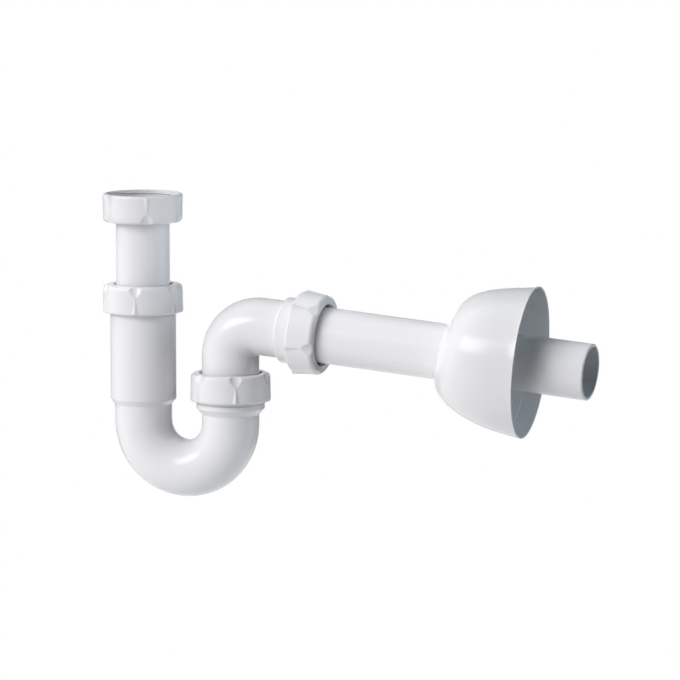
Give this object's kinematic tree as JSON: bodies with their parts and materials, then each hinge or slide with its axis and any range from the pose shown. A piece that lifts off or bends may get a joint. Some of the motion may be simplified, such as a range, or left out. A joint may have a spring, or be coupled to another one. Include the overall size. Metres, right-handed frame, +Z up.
{
  "type": "tubular trap",
  "caption": "White plastic P-trap for a basin: telescopic inlet tube with union nut, U-bend, swivel elbow, compression nuts, outlet pipe and sliding bell rosette.",
  "frame": {"origin": "on the inlet axis, at the mouth of the inlet nut", "axes": "+Z up along the inlet axis and out of the inlet nut's mouth, +X towards the outlet"},
  "size_m": [0.2954, 0.0857, 0.1741],
  "materials": {
    "white_moulding": "gloss",
    "white_nut": "gloss",
    "white_pipe": "satin",
    "white_rosette": "gloss",
    "seal_rubber": "matte"
  },
  "bodies": {
    "inlet_nut": {"inlet_nut": "white_nut"},
    "inlet_tube": {"inlet_tube": "white_pipe", "inlet_washer": "seal_rubber"},
    "inlet_compression_nut": {"inlet_compression_nut": "white_nut"},
    "inlet_cone_seal": {"inlet_cone_seal": "seal_rubber"},
    "trap_body": {"trap_body": "white_moulding"},
    "elbow_compression_nut": {"elbow_compression_nut": "white_nut"},
    "elbow_cone_seal": {"elbow_cone_seal": "seal_rubber"},
    "outlet_elbow": {"outlet_elbow": "white_moulding"},
    "outlet_compression_nut": {"outlet_compression_nut": "white_nut"},
    "outlet_cone_seal": {"outlet_cone_seal": "seal_rubber"},
    "outlet_pipe": {"outlet_pipe": "white_pipe"},
    "wall_rosette": {"wall_rosette": "white_rosette"}
  },
  "joints": [
    {"name": "inlet_swivel", "type": "hinge", "parent": "inlet_nut", "child": "inlet_tube", "pos_m": [0, 0, 0], "axis": [0, 0, 1], "continuous": true},
    {"name": "trap_height", "type": "slide", "parent": "inlet_tube", "child": "trap_body", "axis": [0, 0, 1], "range_m": [-0.018, 0.024]},
    {"name": "elbow_swivel", "type": "hinge", "parent": "trap_body", "child": "outlet_elbow", "pos_m": [0.054, 0, -0.1173], "axis": [0, 0, 1], "range_deg": [-105, 105]},
    {"name": "pipe_insertion", "type": "slide", "parent": "outlet_elbow", "child": "outlet_pipe", "axis": [0.9962, 0, -0.0872], "range_m": [-0.002, 0.01]},
    {"name": "rosette_slide", "type": "slide", "parent": "outlet_pipe", "child": "wall_rosette", "axis": [0.9962, 0, -0.0872], "range_m": [-0.045, 0.03]},
    {"name": "inlet_nut_screw", "type": "hinge", "parent": "inlet_cone_seal", "child": "inlet_compression_nut", "pos_m": [0, 0, -0.0684], "axis": [0, 0, 1], "range_deg": [0, 1080]},
    {"name": "inlet_nut_travel", "type": "slide", "parent": "trap_body", "child": "inlet_cone_seal", "axis": [0, 0, 1], "range_m": [0, 0.007]},
    {"name": "elbow_nut_screw", "type": "hinge", "parent": "elbow_cone_seal", "child": "elbow_compression_nut", "pos_m": [0.054, 0, -0.1173], "axis": [0, 0, 1], "range_deg": [0, 1080]},
    {"name": "elbow_nut_travel", "type": "slide", "parent": "trap_body", "child": "elbow_cone_seal", "axis": [0, 0, 1], "range_m": [0, 0.007]},
    {"name": "outlet_nut_screw", "type": "hinge", "parent": "outlet_cone_seal", "child": "outlet_compression_nut", "pos_m": [0.09584, 0, -0.07586], "axis": [0.9962, 0, -0.0872], "range_deg": [0, 1080]},
    {"name": "outlet_nut_travel", "type": "slide", "parent": "outlet_elbow", "child": "outlet_cone_seal", "axis": [0.9962, 0, -0.0872], "range_m": [0, 0.007]}
  ],
  "couplings": [
    {"joint": "inlet_nut_travel", "follows": "inlet_nut_screw", "m_per_rad": 0.00036749},
    {"joint": "elbow_nut_travel", "follows": "elbow_nut_screw", "m_per_rad": 0.00036749},
    {"joint": "outlet_nut_travel", "follows": "outlet_nut_screw", "m_per_rad": 0.00036749}
  ]
}
